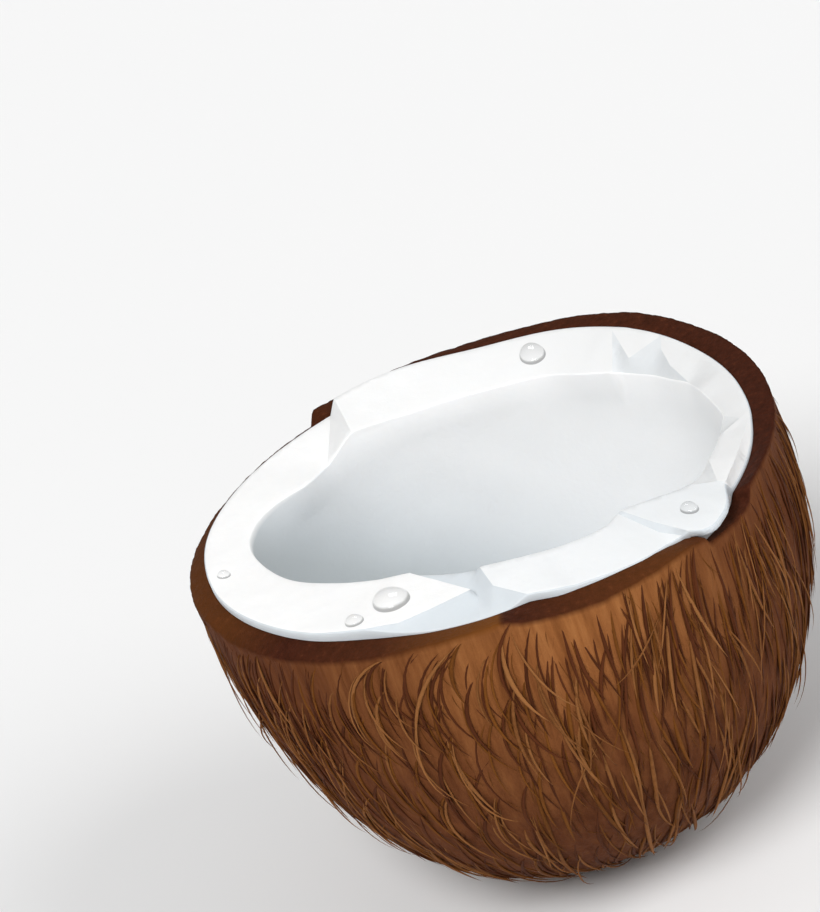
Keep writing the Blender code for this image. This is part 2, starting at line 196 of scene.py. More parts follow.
# Edge of the hollow, in the same form
HOLLOW_EDGE = (
    (0.0, 0.591, -1.9, ""),
    (9.0, 0.651, -2.0, ""),
    (16.0, 0.628, -3.2, "chip_right_in"),
    (23.0, 0.698, -3.8, ""),
    (30.0, 0.721, -4.2, ""),
    (35.0, 0.791, -4.2, ""),
    (40.0, 0.851, -4.0, "chip_left_low"),
    (40.5, 0.976, -3.0, "chip_left_in"),
    (50.0, 1.083, -3.0, ""),
    (61.0, 1.069, -3.0, ""),
    (74.0, 1.256, -2.6, ""),
    (87.0, 1.325, -2.0, ""),
    (102.0, 1.372, -1.0, ""),
    (111.0, 1.325, 0.0, ""),
    (120.0, 1.256, 1.0, "step_high_in"),
    (132.0, 1.256, -1.8, "step_low_in"),
    (144.0, 1.302, -0.8, ""),
    (155.0, 0.976, -0.2, ""),
    (163.0, 0.814, 0.1, ""),
    (174.0, 0.791, 0.7, ""),
    (190.0, 0.953, 1.4, ""),
    (203.0, 1.093, 1.9, ""),
    (217.0, 1.316, 2.5, ""),
    (232.0, 1.488, 3.1, ""),
    (242.0, 1.604, 3.5, "tongue_in"),
    (243.5, 1.604, 2.7, "groove_in"),
    (262.5, 1.349, 3.2, "groove_end"),
    (263.5, 1.302, 4.0, "front_plate_in"),
    (275.0, 1.186, 3.8, ""),
    (286.0, 1.083, 3.0, ""),
    (297.0, 1.069, 2.0, ""),
    (303.5, 1.209, 1.4, "slit_in"),
    (304.5, 1.2, 1.7, "lobe_in"),
    (312.0, 0.976, 1.0, ""),
    (320.0, 0.632, 0.2, "lobe_corner"),
    (321.0, 0.698, -1.1, "side_chip_start"),
    (330.0, 0.651, -1.8, "side_chip_end"),
    (331.0, 0.591, -0.5, "side_plate_corner"),
    (342.0, 0.558, -1.0, "star_start"),
    (344.0, 0.591, -2.0, ""),
    (350.0, 0.535, -2.0, "star_end"),
    (351.0, 0.502, -1.4, "sliver_start"),
)

# Corners that lie on the broken face between the two edges
FACE_POINTS = {
    "chip_peak": (34.0, 0.07, 0.0),
    "chip_left_peak": (47.0, 0.116, 0.4),
    "chip_notch": (38.0, 0.651, -1.7),
    "chip_shoulder": (31.0, 0.325, -1.0),
    "chip_flank": (25.0, 0.535, -2.0),
    "tongue_bend": (246.0, 0.163, 3.9),
    "tongue_side": (252.0, 0.391, 4.0),
    "tongue_tip": (261.0, 0.698, 4.0),
    "groove_mid": (262.0, 0.642, 2.6),
    "front_plate_bend": (266.0, 0.642, 3.8),
    "slit_mid": (303.8, 0.363, -0.6),
    "lobe_side": (305.0, 0.535, 0.6),
    "side_apex": (322.0, 0.163, -0.1),
    "side_bevel_mid": (330.0, 0.084, 0.0),
    "side_bevel_low": (322.3, 0.023, -0.1),
    "star_apex": (347.0, 0.209, -0.7),
}

# Ridges and valleys of the broken face, each between two named corners
CREASES = (
    ("step_high_out", "step_high_in"),
    ("step_low_out", "step_low_in"),
    ("chip_left_peak", "chip_left_in"),
    ("chip_left_peak", "chip_notch"),
    ("chip_notch", "chip_peak"),
    ("chip_peak", "chip_shoulder"),
    ("chip_shoulder", "chip_flank"),
    ("chip_flank", "chip_right_in"),
    ("bevel_start", "tongue_bend"),
    ("tongue_bend", "tongue_side"),
    ("tongue_side", "tongue_tip"),
    ("tongue_tip", "tongue_in"),
    ("groove_in", "groove_mid"),
    ("groove_mid", "groove_out"),
    ("front_plate_in", "front_plate_bend"),
    ("front_plate_bend", "front_plate_out"),
    ("slit_in", "slit_mid"),
    ("slit_mid", "slit_out"),
    ("lobe_in", "lobe_side"),
    ("lobe_side", "lobe_start"),
    ("lobe_corner", "side_apex"),
    ("side_apex", "side_plate_corner"),
    ("side_apex", "side_bevel_low"),
    ("side_bevel_low", "lobe_end"),
    ("side_bevel_low", "side_bevel_mid"),
    ("side_bevel_mid", "side_bevel_end"),
    ("star_start", "star_apex"),
    ("star_apex", "sliver_start"),
)

# Broken rim of the shell: (azimuth, lift of the outer edge, lift of the inner edge)
SHELL_RIM = (
    (0.0, -0.7, -0.8),
    (9.0, 0.0, -0.7),
    (27.0, 0.5, -0.6),
    (45.0, 1.4, 0.2),
    (62.0, 0.6, 0.1),
    (71.0, -0.2, -0.3),
    (85.0, -0.7, -0.3),
    (112.0, -0.4, -0.6),
    (117.0, -0.2, -1.0),
    (118.5, -3.2, -2.5),
    (133.0, -3.2, -1.8),
    (147.0, -3.3, -1.5),
    (162.0, -2.7, -0.8),
    (175.0, -2.0, 0.2),
    (184.0, -1.4, 0.6),
    (197.0, -0.2, 0.9),
    (206.0, -0.9, 1.1),
    (216.0, -0.5, 1.3),
    (233.0, 0.3, 1.6),
    (243.0, 1.1, 1.7),
    (251.0, 1.9, 1.7),
    (260.0, 2.5, 1.8),
    (267.0, 2.7, 1.9),
    (269.0, 1.6, 1.9),
    (276.0, 0.4, 1.6),
    (283.0, -0.8, 0.9),
    (291.0, -0.9, 0.1),
    (298.0, -1.0, -0.8),
    (303.0, -1.2, -1.9),
    (306.8, -1.9, -2.3),
    (307.6, -3.8, -5.8),
    (317.0, -4.3, -5.8),
    (321.0, -3.6, -4.6),
    (322.5, -1.0, -3.2),
    (333.0, -0.7, -2.8),
    (345.0, -0.9, -1.5),
)

# Water drops: name, azimuth, depth, radius, height
DROPS = (
    ("droplet_left", 186.0, 0.279, 1.4, 0.9),
    ("droplet_front_large", 241.0, 0.837, 3.7, 1.9),
    ("droplet_front_small", 235.0, 0.325, 1.9, 1.1),
    ("droplet_back", 66.0, 0.535, 2.8, 1.5),
    ("droplet_right", 312.0, 0.233, 1.75, 1.2),
)

# Facets of the broken face with painted shade, greyer than the rest: azimuth and depth of a point in each,
# and how grey
FACET_SHADES = (
    (120.0, 0.8, 0.03),
    (33.0, 0.62, 0.3),
    (347.0, 0.45, 0.13),
    (326.0, 0.52, 0.12),
    (333.0, 0.03, 0.01),
    (304.6, 0.7, 0.6),
    (255.0, 0.35, 0.76),
    (266.0, 0.35, 0.72),
    (285.0, 0.5, 0.24),
    (313.0, 0.5, 0.28),
)

# Where the broken shell is a lighter brown: azimuth, warmth
RIM_WARMTH = (
    (0.0, 0.0),
    (110.0, 0.05),
    (180.0, 0.35),
    (200.0, 0.3),
    (218.0, 0.0),
    (240.0, 0.1),
    (252.0, 0.45),
    (262.5, 0.75),
    (263.5, 0.0),
    (285.0, 0.2),
    (300.0, 0.35),
    (304.0, 0.2),
    (320.0, 0.0),
)


def bowl_radius(z, inset, azimuth):
    """Radius of the bowl at a height, for the outside (inset 0) or a surface inside it."""
    waist = RIM_HEIGHT - WAIST_DROP
    down = np.clip((waist - z) / (waist + POLE_DEPTH - inset), 0.0, 1.0)
    narrow = (1.0 - down**BOWL_POWER) ** (1.0 / BOWL_POWER)
    swell = RIDGE_SWELL * np.sin(np.pi * np.clip(z / RIM_HEIGHT, 0.0, 1.0))
    ridge = np.cos(np.radians(3.0 * (azimuth - RIDGE_AZIMUTH)))
    return (BODY_RADIUS - inset + swell * ridge) * narrow


def placed(azimuth, radius, z):
    """Points of the coconut, whose axis leans a little."""
    angle = np.radians(azimuth)
    along = np.asarray(z) / RIM_HEIGHT
    x = radius * np.cos(angle) + LEAN_X * along
    y = radius * np.sin(angle) + LEAN_Y * along
    return np.stack(np.broadcast_arrays(x, y, z), axis=-1)


def flesh_radius():
    return BODY_RADIUS - SHELL_WALL


def on_face(azimuth, depth, lift):
    return placed(azimuth, flesh_radius() - FLESH_WALL * depth, RIM_HEIGHT + lift)


def eased(before, start, end, after, t):
    """Cubic curve from start to end, whose slopes come from the neighbours."""
    first = (end - before) / 2.0
    last = (after - start) / 2.0
    return (
        (2 * t**3 - 3 * t**2 + 1) * start
        + (t**3 - 2 * t**2 + t) * first
        + (3 * t**2 - 2 * t**3) * end
        + (t**3 - t**2) * last
    )


def traced(table, step):
    """The closed edge in even steps, smooth except at its named corners: azimuths, depths, lifts, names."""
    rows = []
    count = len(table)
    for i in range(count):
        start = table[i]
        end = table[(i + 1) % count]
        before = start if start[3] else table[i - 1]
        after = end if end[3] else table[(i + 2) % count]
        span = (end[0] - start[0]) % 360.0
        pieces = max(1, round(span / step))
        rows.append(start)
        for piece in range(1, pieces):
            t = piece / pieces
            depth = eased(before[1], start[1], end[1], after[1], t)
            lift = eased(before[2], start[2], end[2], after[2], t)
            rows.append((start[0] + span * t, depth, lift, ""))
    azimuths, depths, lifts = np.array([row[:3] for row in rows]).T
    names = {row[3]: i for i, row in enumerate(rows) if row[3]}
    return azimuths, depths, lifts, names


def round_table(azimuths, values, at):
    """Values of a closed table at other azimuths, by straight lines."""
    return np.interp(at, azimuths, values, period=360.0)


def wobble(points, size, seed=0.0):
    """Smooth noise between -1 and 1 at each point, over lumps of about that size."""
    shift = Vector((seed, 2.0 * seed, -seed))
    return np.array([noise.noise(Vector(point) / size + shift) for point in points])


def inside(loop, spots):
    """Whether a closed loop of flat points goes round each spot."""
    start = loop[:, None, :]
    end = np.roll(loop, 1, axis=0)[:, None, :]
    spans = (start[..., 1] > spots[:, 1]) != (end[..., 1] > spots[:, 1])
    rise = np.where(spans, end[..., 1] - start[..., 1], 1.0)
    crossing = start[..., 0] + (end[..., 0] - start[..., 0]) * (spots[:, 1] - start[..., 1]) / rise
    return (spans & (spots[:, 0] < crossing)).sum(axis=0) % 2 == 1


def painted_light_and_mottle(points):
    """How light the husk is painted at each point: a painted highlight, most at the front just under the rim,
    and paler patches at random elsewhere.
    """
    azimuth = np.degrees(np.arctan2(points[:, 1], points[:, 0]))
    across = ((azimuth - LIT_AZIMUTH + 180.0) % 360.0 - 180.0) / LIT_WIDTH
    below = (points[:, 2] - LIT_HEIGHT) / LIT_DEPTH
    # Painted highlight: lighter where the light falls, at the front just under the rim
    front = np.exp(-0.5 * (across**2 + below**2))
    elsewhere = PALE_DRIFT * np.clip(wobble(points, 38.0, 31.0), 0.0, 1.0)
    return np.clip(front + elsewhere * (1.0 - front), 0.0, 1.0)


def softened(azimuths, values, width):
    """A closed row of values averaged over a width in degrees."""
    even = np.arange(360.0)
    row = round_table(azimuths, values, even)
    reach = np.minimum(even, 360.0 - even)
    kernel = np.exp(-0.5 * (reach / width) ** 2)
    smooth = np.real(np.fft.ifft(np.fft.fft(row) * np.fft.fft(kernel / kernel.sum())))
    return round_table(even, smooth, azimuths)


def filled(faces, walls, seeds):
    """Spreads each seed's value over the faces that it reaches without crossing a wall."""
    sides = {}
    for number, face in enumerate(faces):
        for a, b in zip(face, face[1:] + face[:1]):
            sides.setdefault((min(a, b), max(a, b)), []).append(number)
    beside = [[] for _ in faces]
    for edge, pair in sides.items():
        if len(pair) == 2 and edge not in walls:
            beside[pair[0]].append(pair[1])
            beside[pair[1]].append(pair[0])
    values = np.zeros(len(faces))
    for start, value in seeds:
        waiting = [start]
        while waiting:
            face = waiting.pop()
            if values[face] == 0.0:
                values[face] = value
                waiting.extend(beside[face])
    return values


class Skin:
    """Points and faces that grow ring by ring."""

    def __init__(self):
        self.points = []
        self.faces = []

    def add(self, spots):
        first = len(self.points)
        self.points.extend(np.asarray(spots).reshape(-1, 3).tolist())
        return list(range(first, len(self.points)))

    def join(self, upper, lower):
        """Quads between two rings, facing out when the lower one is below and the rings turn left."""
        for i, j in zip(range(len(upper)), list(range(1, len(upper))) + [0]):
            self.faces.append((upper[i], lower[i], lower[j], upper[j]))

    def cap(self, ring, tip, up):
        """Triangles from a ring to its tip, facing up or down."""
        for i, j in zip(ring, ring[1:] + ring[:1]):
            self.faces.append((i, j, tip) if up else (j, i, tip))

    def array(self):
        return np.array(self.points)


def new_piece(name, points, faces, material):
    """A mesh object from points in millimetres, riding on the part."""
    mesh = bpy.data.meshes.new(name)
    mesh.from_pydata((np.asarray(points) * MM).tolist(), [], faces)
    mesh.update()
    mesh.shade_smooth()
    piece = bpy.data.objects.new(name, mesh)
    bpy.context.scene.collection.objects.link(piece)
    mesh.materials.append(material)
    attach(piece, "root")
    return piece


def give(piece, name, values):
    """A number at each point of a piece, for its material to read."""
    attribute = piece.data.attributes.new(name, "FLOAT", "POINT")
    attribute.data.foreach_set("value", np.asarray(values, dtype=np.float32))


def normals_of(points, faces):
    """Mean normal at each point."""
    total = np.zeros_like(points)
    for size in (3, 4):
        group = np.array([face for face in faces if len(face) == size])
        if not len(group):
            continue
        corners = points[group]
        facing = np.cross(corners[:, 2] - corners[:, 0], corners[:, -1] - corners[:, 1])
        if size == 3:
            facing = np.cross(corners[:, 1] - corners[:, 0], corners[:, 2] - corners[:, 0])
        for k in range(size):
            np.add.at(total, group[:, k], facing)
    return total / np.maximum(np.linalg.norm(total, axis=1, keepdims=True), 1e-12)


# ---------------------------------------------------------------- flesh


def triangulated(flat, edges, loops):
    """Triangles between two outlines, on flat points, with the given edges kept."""
    made = geometry.delaunay_2d_cdt([Vector(spot) for spot in flat], edges, loops, 0, MERGE_LIMIT)
    back = [origin[0] for origin in made[3]]
    triangles = np.array([[back[i] for i in face] for face in made[2]])
    middles = flat[triangles].mean(axis=1)
    kept = inside(flat[loops[0]], middles) & ~inside(flat[loops[1]], middles)
    return triangles[kept]


def broken_face(outer, inner):
    """The broken face of the flesh between its two edges, folded at the creases, in even small triangles."""
    points = [on_face(*outer[:3]), on_face(*inner[:3])]
    first_inner = len(points[0])
    loops = [list(range(first_inner)), list(range(first_inner, first_inner + len(points[1])))]
    names = dict(outer[3])
    names.update({name: first_inner + i for name, i in inner[3].items()})
    for name, row in FACE_POINTS.items():
        names[name] = sum(len(group) for group in points)
        points.append(on_face(*row)[None, :])
    points = np.concatenate(points)
    folds = [(names[a], names[b]) for a, b in CREASES]
    rough = triangulated(points[:, :2], folds, loops)
    heights = BVHTree.FromPolygons(points.tolist(), rough.tolist())

    # Points along the creases, then a grid over the rest
    chains = []
    added = []
    count = len(points)
    for a, b in folds:
        pieces = max(1, round(np.linalg.norm(points[b] - points[a]) / GRID_STEP))
        chain = [a]
        for piece in range(1, pieces):
            chain.append(count)
            added.append(points[a] + (points[b] - points[a]) * piece / pieces)
            count += 1
        chain.append(b)
        chains += list(zip(chain, chain[1:]))
    points = np.concatenate([points, np.array(added)])
    taken = kdtree.KDTree(len(points))
    for i, (x, y, _) in enumerate(points):
        taken.insert((x, y, 0.0), i)
    taken.balance()
    low, high = points.min(axis=0), points.max(axis=0)
    rows = np.arange(low[1], high[1], GRID_STEP * math.sin(math.radians(60.0)))
    grid = []
    for number, y in enumerate(rows):
        for x in np.arange(low[0] + GRID_STEP / 2.0 * (number % 2), high[0], GRID_STEP):
            grid.append((x, y))
    grid = np.array(grid)
    grid = grid[inside(points[loops[0], :2], grid) & ~inside(points[loops[1], :2], grid)]
    above = high[2] + 1.0
    spots = []
    for x, y in grid:
        if taken.find((x, y, 0.0))[2] > GRID_CLEAR:
            hit = heights.ray_cast(Vector((x, y, above)), Vector((0.0, 0.0, -1.0)))[0]
            if hit:
                spots.append(tuple(hit))
    points = np.concatenate([points, np.array(spots)])
    return points, triangulated(points[:, :2], chains, loops).tolist(), loops, chains


def flesh_piece(material):
    outer = traced(FLESH_EDGE, EDGE_STEP)
    inner = traced(HOLLOW_EDGE, EDGE_STEP)
    inset = EDGE_ROUND / FLESH_WALL
    face_outer = (outer[0], outer[1] + inset, outer[2], outer[3])
    face_inner = (inner[0], inner[1] - inset, inner[2], inner[3])
    points, faces, loops, chains = broken_face(face_outer, face_inner)
    skin = Skin()
    skin.add(points)
    skin.faces = [tuple(face) for face in faces]
    face_count = len(points)

    # Outside: a rounded edge, the lip, then the part that the shell hides
    azimuths, depths, lifts = outer[:3]
    ring = loops[0]
    for back, drop in ((0.3, 0.3), (0.0, 1.0)):
        low = skin.add(on_face(azimuths, depths + inset * back, lifts - EDGE_ROUND * drop))
        skin.join(ring, low)
        ring = low
    low = skin.add(on_face(azimuths, depths, lifts - LIP_THICKNESS))
    skin.join(ring, low)
    ring = low
    neck = RIM_HEIGHT + lifts - LIP_THICKNESS - NECK_DROP
    radius = np.minimum(flesh_radius() - FLESH_WALL * depths, bowl_radius(neck, SHELL_WALL, azimuths))
    low = skin.add(placed(azimuths, radius, neck))
    skin.join(ring, low)
    ring = low
    floor = SHELL_WALL - POLE_DEPTH
    seat = RIM_HEIGHT - SEAT_DROP
    for step in range(HIDDEN_RINGS):
        z = floor + (seat - floor) * (1.0 - step / HIDDEN_RINGS) ** 2
        low = skin.add(placed(azimuths, bowl_radius(z, SHELL_WALL, azimuths), z))
        skin.join(ring, low)
        ring = low
    skin.cap(ring, skin.add(placed(0.0, 0.0, floor))[0], False)
    hollow_first = len(skin.points)

    # Hollow: its rings start on the broken edge and grow round as they go down
    azimuths, depths, lifts = inner[:3]
    ring = loops[1]
    for back, drop in ((0.3, 0.3), (0.0, 1.0)):
        low = skin.add(on_face(azimuths, depths - inset * back, lifts - EDGE_ROUND * drop))
        skin.join(low, ring)
        ring = low
    bottom = floor + FLESH_FLOOR
    soft_depths = softened(azimuths, depths, SOFT_REACH)
    soft_lifts = softened(azimuths, lifts, SOFT_REACH)
    for step in range(2, HOLLOW_RINGS):
        angle = math.pi / 2.0 * step / HOLLOW_RINGS
        narrow = math.cos(angle) ** (2.0 / HOLLOW_POWER)
        deep = math.sin(angle) ** (2.0 / HOLLOW_POWER)
        evened = min(1.0, deep * EVENING)
        blend = min(1.0, deep * SOFTENING)
        edge_depths = depths + (soft_depths - depths) * blend
        edge_lifts = lifts + (soft_lifts - lifts) * blend
        radius = flesh_radius() - FLESH_WALL * (edge_depths + (1.0 - edge_depths) * evened)
        height = RIM_HEIGHT + edge_lifts * (1.0 - evened) - bottom
        low = skin.add(placed(azimuths, radius * narrow, bottom + height * (1.0 - deep)))
        skin.join(low, ring)
        ring = low
    skin.cap(ring, skin.add(placed(0.0, 0.0, bottom))[0], True)

    points = skin.array()
    facing = normals_of(points, skin.faces)
    face_part = slice(0, face_count)
    hollow_part = slice(hollow_first, len(points))
    relief = np.zeros(len(points))
    relief[face_part] = FACE_RELIEF * wobble(points[face_part], 3.2, 5.0)
    relief[hollow_part] = HOLLOW_SWELL * wobble(points[hollow_part], 11.0, 1.0)
    relief[hollow_part] += HOLLOW_RELIEF * wobble(points[hollow_part], 3.5, 2.0)
    depth = np.clip((RIM_HEIGHT - points[:, 2]) / (RIM_HEIGHT - bottom), 0.0, 1.0)
    settled = np.minimum(1.0, depth / HOLLOW_SETTLE)
    relief[hollow_part] *= settled[hollow_part]
    points += facing * relief[:, None]
    hollow = np.zeros(len(points))
    hollow[hollow_part] = depth[hollow_part]
    piece = new_piece("flesh_finish", points, skin.faces, material)
    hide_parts("flesh")
    give(piece, "hollow", hollow)
    folds = {tuple(sorted(pair)) for pair in chains}
    middles = points[np.array(faces)].mean(axis=1)
    seeds = []
    # Painted shade on some facets of the broken face
    for azimuth, seed_depth, shade_amount in FACET_SHADES:
        seed = on_face(azimuth, seed_depth, 0.0)
        seeds.append((int(np.argmin(np.hypot(*(middles - seed)[:, :2].T))), shade_amount))
    facet_shade = np.zeros(len(skin.faces))
    facet_shade[: len(faces)] = filled(faces, folds, seeds)
    # Painted shade on the rounded outer edge of the flesh
    facet_shade[len(faces) : len(faces) + 4 * len(loops[0])] = LIP_SHADE
    shade_layer = piece.data.attributes.new("facet_shade", "FLOAT", "FACE")
    shade_layer.data.foreach_set("value", facet_shade.astype(np.float32))
    for edge in piece.data.edges:
        if tuple(sorted(edge.vertices)) in folds:
            edge.use_edge_sharp = True
    heights = BVHTree.FromPolygons(points[face_part].tolist(), faces)
    return heights, outer


# ---------------------------------------------------------------- shell


def shell_piece(material, flesh_outer):
    azimuths = np.arange(SHELL_STEPS) * 360.0 / SHELL_STEPS
    known, outer_lifts, inner_lifts = np.array(SHELL_RIM).T
    outer = RIM_HEIGHT + round_table(known, outer_lifts, azimuths)
    inner = RIM_HEIGHT + round_table(known, inner_lifts, azimuths)
    circle = placed(azimuths, BODY_RADIUS, 0.0)
    outer += RAGGED * (wobble(circle, 2.2, 3.0) + 0.6 * wobble(circle, 0.9, 4.0))
    skin = Skin()
    foot = skin.add(placed(azimuths, bowl_radius(0.0, 0.0, azimuths), 0.0))
    below = foot
    for step in range(1, SHELL_RINGS + 1):
        z = outer * (step / SHELL_RINGS) ** 1.5
        radius = bowl_radius(z, 0.0, azimuths)
        at = placed(azimuths, radius, z)
        streaks = wobble(at * (1.0, 1.0, 0.1), 1.5, 7.0)
        lumps = wobble(at, 9.0, 8.0)
        rough = wobble(at * (1.0, 1.0, 0.35), 0.9, 9.0)
        settle = np.clip(z / SHELL_SETTLE, 0.0, 1.0)
        radius = radius + settle * (SHELL_STREAKS * streaks + SHELL_LUMPS * lumps + SHELL_GRAIN * rough)
        above = skin.add(placed(azimuths, radius, z))
        skin.join(above, below)
        below = above
    outer_radius = radius

    # The broken rim runs in to the flesh, in small rough steps
    flesh_edge = flesh_radius() - FLESH_WALL * round_table(flesh_outer[0], flesh_outer[1], azimuths)
    inner_radius = np.minimum(bowl_radius(inner, SHELL_WALL, azimuths), flesh_edge) - OVERLAP
    for step in range(1, RIM_RINGS):
        t = step / RIM_RINGS
        radius = outer_radius + (inner_radius - outer_radius) * t
        z = outer + (inner - outer) * t
        at = placed(azimuths, radius, z)
        crown = 4.0 * t * (1.0 - t)
        grain = wobble(at * (0.5, 0.5, 1.0), 0.8, 11.0) + 0.5 * wobble(at, 0.45, 12.0)
        z = z + crown * (RIM_CROWN + RAGGED * 0.55 * grain)
        above = skin.add(placed(azimuths, radius, z))
        skin.join(above, below)
        below = above
    above = skin.add(placed(azimuths, inner_radius, inner))
    skin.join(above, below)
    ring = above
    floor = SHELL_WALL - POLE_DEPTH
    seat = RIM_HEIGHT - SEAT_DROP
    for step in range(HIDDEN_RINGS):
        z = floor + (seat - floor) * (1.0 - step / HIDDEN_RINGS) ** 2
        low = skin.add(placed(azimuths, bowl_radius(z, SHELL_WALL + OVERLAP, azimuths), z))
        skin.join(low, ring)
        ring = low
    skin.cap(ring, skin.add(placed(0.0, 0.0, floor - OVERLAP))[0], True)
    skin.cap(foot, skin.add(placed(0.0, 0.0, 0.0))[0], False)
    points = skin.array()
    piece = new_piece("shell_finish", points, skin.faces, material)
    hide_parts("shell")
    broken = np.zeros(len(points))
    first = len(foot) + SHELL_RINGS * SHELL_STEPS
    broken[first - SHELL_STEPS : first + RIM_RINGS * SHELL_STEPS] = 1.0
    give(piece, "broken", broken)
    turn = np.degrees(np.arctan2(points[:, 1], points[:, 0])) % 360.0
    give(piece, "warm", round_table(*np.array(RIM_WARMTH).T, turn))
    # Painted highlight and painted shade on the husk, with paler patches at random, for the material
    give(piece, "lit_and_mottled", painted_light_and_mottle(points))


# ---------------------------------------------------------------- husk fibres


def shell_profile():
    """The outside of the shell, from above its rim to the foot: run, height and the normal's two parts."""
    t = np.linspace(0.0, 1.0, 900)
    z = (RIM_HEIGHT + PROFILE_ABOVE) * (1.0 - t) ** 2
    radius = bowl_radius(z, 0.0, RIDGE_AZIMUTH + 30.0)
    run = np.concatenate([[0.0], np.cumsum(np.hypot(np.diff(z), np.diff(radius)))])
    run -= PROFILE_ABOVE
    out, up = -np.gradient(z, run), np.gradient(radius, run)
    size = np.hypot(out, up)
    return run, z, out / size, up / size


def on_shell(profile, azimuth, run, off):
    """Points a little way off the shell, and the normal there."""
    runs, heights, outs, ups = profile
    z = np.interp(run, runs, heights)
    out = np.interp(run, runs, outs)
    up = np.interp(run, runs, ups)
    radius = bowl_radius(z, 0.0, azimuth)
    points = placed(azimuth, radius + off * out, z + off * up)
    angle = np.radians(azimuth)
    return points, np.stack([out * np.cos(angle), out * np.sin(angle), up], axis=-1), radius


def strand_paths(profile, azimuth, run, length, sweep, curl, lift, root, droop):
    """Centre lines of strands that lie down the shell, lift and droop back, with the normals under them."""
    azimuth = azimuth.copy()
    run = run.copy()
    paths, normals = [], []
    for k in range(STRAND_STEPS + 1):
        t = k / STRAND_STEPS
        off = root + lift * t**STRAND_RISE * (1.0 - droop * t**2)
        points, facing, radius = on_shell(profile, azimuth, run, off)
        paths.append(points)
        normals.append(facing)
        heading = sweep + curl * (t - 0.4)
        step = length / STRAND_STEPS
        run = np.minimum(run + step * np.cos(heading), profile[0][-1] - 1.0)
        azimuth = azimuth + np.degrees(step * np.sin(heading) / np.maximum(radius, 14.0))
    paths = np.stack(paths, axis=1)
    paths[..., 2] = np.maximum(paths[..., 2], FLOOR_CLEAR)
    return paths, np.stack(normals, axis=1)


def tubes(paths, normals, widths, sides, flat):
    """Closed tapered tubes along the paths: points, faces, and how far along its strand each point is."""
    count, steps = paths.shape[:2]
    along = np.gradient(paths, axis=1)
    along /= np.linalg.norm(along, axis=-1, keepdims=True)
    across = np.cross(along, normals)
    across /= np.linalg.norm(across, axis=-1, keepdims=True)
    out = np.cross(across, along)
    t = np.arange(1, steps - 1) / (steps - 1.0)
    wide = widths[:, None] * np.sin(np.pi * t**0.85)[None, :] ** 0.9
    angle = 2.0 * np.pi * np.arange(sides) / sides
    rings = paths[:, 1:-1, None, :] + wide[:, :, None, None] * (
        np.cos(angle)[:, None] * across[:, 1:-1, None, :]
        + flat * np.sin(angle)[:, None] * out[:, 1:-1, None, :]
    )
    body = rings.reshape(count, -1, 3)
    points = np.concatenate([paths[:, :1], body, paths[:, -1:]], axis=1)
    last = points.shape[1] - 1
    faces = []
    for k in range(sides):
        j = (k + 1) % sides
        faces.append((0, 1 + j, 1 + k, -1))
        for ring in range(steps - 3):
            low = 1 + ring * sides
            faces.append((low + k, low + j, low + sides + j, low + sides + k))
        low = 1 + (steps - 3) * sides
        faces.append((last, low + k, low + j, -1))
    faces = np.array(faces)
    whole = faces[None, :, :] + (np.arange(count) * (last + 1))[:, None, None]
    whole = whole.reshape(-1, 4)
    short = np.tile(faces[:, 3] < 0, count)
    listed = [tuple(face[:3]) if is_short else tuple(face) for face, is_short in zip(whole.tolist(), short)]
    reach = np.concatenate([[0.0], np.repeat(t, sides), [1.0]])
    return points.reshape(-1, 3), listed, np.tile(reach, count), last + 1


def husk_piece(
    name, material, profile, rng, count, length, width, lift, spread, sides=5, end=math.inf, droop=(0.0, 0.0)
):
    """One coat of strands, spread evenly over the shell below its broken rim."""
    runs, heights = profile[:2]
    radii = bowl_radius(heights, 0.0, RIDGE_AZIMUTH + 30.0)
    inside_run = (runs > 0.0) & (runs < min(end, runs[-1] - BARE_FOOT))
    crown = 1.0 + CROWN_WEIGHT * np.exp(-np.maximum(runs, 0.0) / CROWN_RUN)
    area = np.cumsum(np.where(inside_run, radii * crown, 0.0) * np.gradient(runs))
    area /= area[-1]
    index = np.arange(count)
    first = (0.5 + index * EVEN_FIRST) % 1.0
    second = (0.5 + index * EVEN_SECOND) % 1.0
    azimuth = 360.0 * first + rng.normal(0.0, 1.2, count)
    run = np.interp(np.clip(second + rng.normal(0.0, 0.004, count), 0.002, 0.998), area, runs)
    known, outer_lifts, _ = np.array(SHELL_RIM).T
    near_rim = np.clip(1.0 - run / RIM_RUN, 0.0, 1.0)
    seen = np.clip(0.6 + np.cos(np.radians(azimuth - LIT_AZIMUTH)), 0.0, 1.0)
    over = seen * CROWN_REACH * (index * EVEN_SINGLE % 1.0)
    run -= near_rim * (round_table(known, outer_lifts, azimuth) - 0.6 + over)
    points = on_shell(profile, azimuth, run, 0.0)[0]
    lean = wobble(points, 24.0, 21.0)
    turn = 0.6 * wobble(points, 22.0, 22.0) + np.cos(np.radians(azimuth - CURL_AZIMUTH))
    sweep = np.radians(12.0 * lean - 5.0 * turn + rng.normal(0.0, spread, count))
    curl = np.radians(CURL * turn + rng.normal(0.0, 18.0, count))
    lengths = rng.uniform(*length, count)
    lengths = np.minimum(lengths, runs[-1] - run - 2.0)
    lifts = rng.uniform(*lift, count)
    widths = rng.uniform(*width, count)
    droops = rng.uniform(*droop, count)
    roots = widths * 0.4 - ROOT_DEPTH
    paths, normals = strand_paths(profile, azimuth, run, lengths, sweep, curl, lifts, roots, droops)
    points, faces, reach, each = tubes(paths, normals, widths, sides, STRAND_FLAT)
    piece = new_piece(name, points, faces, material)
    give(piece, "reach", reach)
    give(piece, "tone", np.repeat(rng.uniform(0.0, 1.0, count), each))
    # Painted highlight and painted shade at each strand's root, with paler patches at random
    give(piece, "lit_and_mottled", np.repeat(painted_light_and_mottle(paths[:, 0]), each))


# ---------------------------------------------------------------- water


